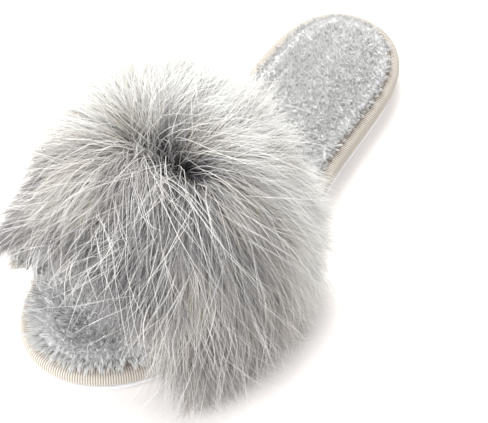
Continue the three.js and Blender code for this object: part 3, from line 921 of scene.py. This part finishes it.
def make_guard_hairs(rng):
    """Long pale single hairs that arc and cross over the softer fur, with a tangle by the parting."""
    guard = hair_finish("pale_guard_hair", (
        (0.0, "#a5a2a0"), (0.4, "#e4e2df"), (1.0, "#fcfbf9")), ((0.0, "#e9e9eb"), (1.0, "#fffdf9")), 0.3)
    count, tangled = GUARD_COUNT, GUARD_TANGLED
    knots = 8
    at = np.linspace(0, 1, knots)
    across = rng.uniform(0.02, 0.98, count)
    along = rng.uniform(0.0, 1.0, count)
    across[:tangled] = rng.normal(0.53, 0.055, tangled)
    along[:tangled] = rng.normal(0.55, 0.1, tangled)
    length = GUARD_LENGTH * rng.uniform(0.6, 1.12, count)
    length[:tangled] = rng.uniform(20, 36, tangled)
    swirl = rng.normal(0, 0.42, count)
    swirl[:tangled] = rng.normal(0, 0.9, tangled)
    paths, normal = hair_paths(across, along, length, swirl, knots, 5.0)
    bend = rng.normal(0, 1, (count, 1, 3)) * (at**2.2)[None, :, None] * 4.0
    size = np.where(np.arange(count) < tangled, 5.0, 2.6)[:, None, None]
    paths = paths + bend + curls(count, at, size, rng)
    paths = keep_clear(paths, at, 0.8 + 6 * rng.uniform(0, 1, count) ** 2)
    taper = np.array([1, 1, 1, 0.95, 0.9, 0.75, 0.5, 0.0])
    widths = GUARD_WIDTH * rng.uniform(0.8, 1.2, (count, 1)) * taper[None, :]
    facing = unit(normal[:, None] + rng.normal(0, 0.3, (count, 1, 3)))
    piece = strips("fur_guard_hairs", paths, widths, facing, rng.uniform(0, 1, count))
    dress(piece, guard, "fur", "fur")


def make_underfur(rng):
    """Short dark wool that fills the ground of the parting and its pockets."""
    wool = hair_finish("short_underfur_wool", (
        (0.0, "#4c4b4d"), (0.6, "#817f80"), (1.0, "#aeacac")), ((0.0, "#d5d6da"), (1.0, "#ffffff")), 0.3)
    count, knots = WOOL_COUNT, 5
    at = np.linspace(0, 1, knots)
    taper = np.array([1, 1, 0.8, 0.5, 0])
    across = rng.normal(0.51, 0.075, count)
    along = np.clip(rng.normal(0.57, 0.14, count), 0.02, 0.98)
    length = rng.uniform(9, 19, count)
    paths, normal = hair_paths(across, along, length, rng.normal(0, 0.5, count), knots, 3.0)
    paths = paths + curls(count, at, 1.8, rng)
    widths = WOOL_WIDTH * rng.uniform(0.8, 1.2, (count, 1)) * taper[None, :]
    facing = unit(normal[:, None] + rng.normal(0, 0.6, (count, 1, 3)))
    piece = strips("fur_underfur", paths, widths, facing, rng.uniform(0, 1, count))
    dress(piece, wool, "fur", "fur")


def make_pelt():
    """The skin of the pelt and its dense underfur, which the long hair grows from."""
    across = np.linspace(0, 1, ARCH_COUNT)
    rows = [band_point(across, np.full(ARCH_COUNT, t), PELT_OVER_BAND) for t in np.linspace(0, 1, BAND_ROWS)]
    piece = bent_sheet("fur_pelt", np.array(rows))
    dress(piece, brushed_cloth("underfur", "#7b797b", "#a5a3a1", 500.0), "fur", "fur")
    return piece


def thicken(piece, thickness, outward):
    """Gives a sheet its wall, rounds its rim a little and applies both."""
    wall = piece.modifiers.new("wall", "SOLIDIFY")
    wall.thickness = thickness * MM
    wall.offset = 1 if outward else -1
    rim = piece.modifiers.new("rim", "BEVEL")
    rim.width = WALL_EDGE * MM
    rim.segments = 2
    rim.limit_method = "ANGLE"
    apply_modifiers(piece)


def make_plush():
    """The plush pile: small tufts of fine fibre, low at the heel, longer and combed out at the toe."""
    rng = np.random.default_rng(PLUSH_SEED)
    # Tufts in staggered rows, each a little off its place
    xs = np.arange(-56, 44, PILE_PITCH)
    ys = np.arange(TOE_Y + 4, HEEL_Y - 4, PILE_PITCH * 0.87)
    gx, gy = np.meshgrid(xs, ys)
    gx = gx + (np.arange(len(ys)) % 2)[:, None] * PILE_PITCH / 2
    gx = gx + rng.uniform(-0.6, 0.6, gx.shape)
    gy = gy + rng.uniform(-0.6, 0.6, gy.shape)
    x, y = gx.ravel(), gy.ravel()
    places, normals, _ = outline(160)
    offset = np.stack([x, y], axis=1)[:, None] - places[None]
    near = np.argmin(np.sum(offset**2, axis=-1), axis=1)
    edge = -np.sum(offset[np.arange(x.size), near] * normals[near], axis=-1)
    out = normals[near]
    # Deep under the band, out of sight, one tuft in five stays
    hidden = (y > FRONT_Y + 24) & (y < FRONT_Y + UPPER_LENGTH - 22) & (rng.uniform(0, 1, x.size) > 0.2)
    keep = (edge > PILE_INSET) & ~hidden
    x, y, edge, out = x[keep], y[keep], edge[keep], out[keep]
    toe = smooth((FRONT_Y + 12 - y) / 30)
    rim = smooth(1 - (edge - PILE_INSET) / 8)
    z = lerp(17.0, 15.4, rim) + lift(y) + CROWN * crown_at(x, y)
    root = np.column_stack([x, y, z])
    lean = out * (0.1 + 0.45 * rim + 0.7 * toe * (0.3 + 0.7 * rim))[:, None]
    lean = lean + rng.normal(0, 0.2, (x.size, 2)) + np.array([0.0, -0.25])
    tall = lerp(PILE_HEEL, PILE_TOE, toe) * rng.uniform(0.92, 1.08, x.size)
    tip = root + np.column_stack([lean * tall[:, None], tall * lerp(1.0, 0.62, rim)])
    tuft = np.repeat(np.arange(x.size), PILE_FIBRES)
    count = tuft.size
    knots = 4
    at = np.linspace(0, 1, knots)
    spread = rng.normal(0, 0.66, (count, 2))
    start = root[tuft].copy()
    start[:, :2] += spread
    end = tip[tuft].copy()
    end[:, :2] += spread * 0.55 + rng.normal(0, 0.25, (count, 2))
    end[:, 2] += rng.normal(0, 0.3, count)
    bow = np.sin(at * np.pi)[None, :, None] * rng.normal(0, 0.3, (count, 1, 3))
    curl = at[None, :, None] ** 1.6
    paths = np.empty((count, knots, 3))
    paths[..., :2] = start[:, None, :2] + (end - start)[:, None, :2] * curl
    paths[..., 2] = start[:, None, 2] + (end - start)[:, None, 2] * at[None, :]
    paths = paths + bow
    widths = PILE_WIDTH * rng.uniform(0.75, 1.25, (count, 1)) * np.array([1, 1, 0.8, 0])[None, :]
    facing = unit(rng.normal(0, 0.35, (count, 1, 3)) + np.array([0.0, -0.4, 0.9]))
    finish = hair_finish("plush_pile", (
        (0.0, "#e8e8e7"), (0.4, "#f4f4f3"), (1.0, "#fdfdfc")), ((0.0, "#d2d2d2"), (1.0, "#ffffff")), 0.1)
    # Each fibre's tint varies at random, with painted shade on the fibres at the rim and painted light on
    # those at the toe
    shade = clamp01(rng.uniform(0.5, 1, count) - 0.72 * rim[tuft] + 0.34 * toe[tuft])
    half = count // 2
    for number, part in enumerate((slice(0, half), slice(half, count))):
        piece = strips(f"plush_pile_{number + 1}", paths[part], widths[part], facing[part], shade[part])
        dress(piece, finish, "plush", "insole")


place_camera()
light_studio()
lay_floor()
make_outsole()
make_tape()
make_stitches()
make_insole()
thicken(make_upper(), UPPER_WALL, False)
thicken(make_pelt(), PELT_THICKNESS, True)
make_plush()
make_fur()
